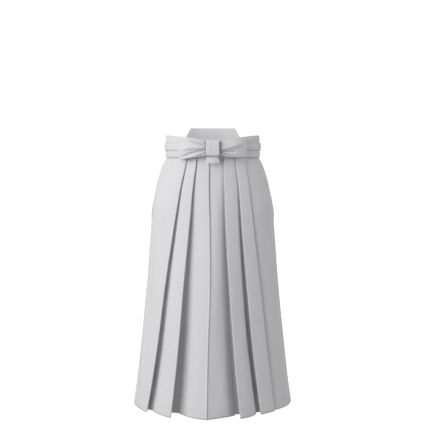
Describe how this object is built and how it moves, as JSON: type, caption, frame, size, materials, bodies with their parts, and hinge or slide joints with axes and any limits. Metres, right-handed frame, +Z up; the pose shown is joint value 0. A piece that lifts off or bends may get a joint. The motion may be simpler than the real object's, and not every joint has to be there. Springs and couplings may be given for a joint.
{
  "type": "hakama",
  "caption": "Pleated, divided skirt-trousers in pale plain cloth, worn form with no wearer, with a stiff back board and wide ties wrapped round the waist and tied in a flat bow in front.",
  "frame": {"origin": "middle of the waist opening, halfway up the wrapped ties", "axes": "+Z up out of the waist, -Y towards the front with the bow, +X towards the wearer's left"},
  "size_m": [0.616, 0.4484, 1.068],
  "materials": {
    "pale_cloth": "matt plain weave"
  },
  "bodies": {
    "root": {"back_board": "pale_cloth", "back_left_panel": "pale_cloth", "back_right_panel": "pale_cloth", "bow_loop_left": "pale_cloth", "bow_loop_right": "pale_cloth", "crotch_gusset": "pale_cloth", "front_left_panel": "pale_cloth", "front_right_panel": "pale_cloth", "front_waistband": "pale_cloth", "inner_leg_left": "pale_cloth", "inner_leg_right": "pale_cloth", "knot": "pale_cloth", "lower_tie_wrap": "pale_cloth", "outer_tie_wrap": "pale_cloth", "tie_tail": "pale_cloth"}
  },
  "joints": []
}
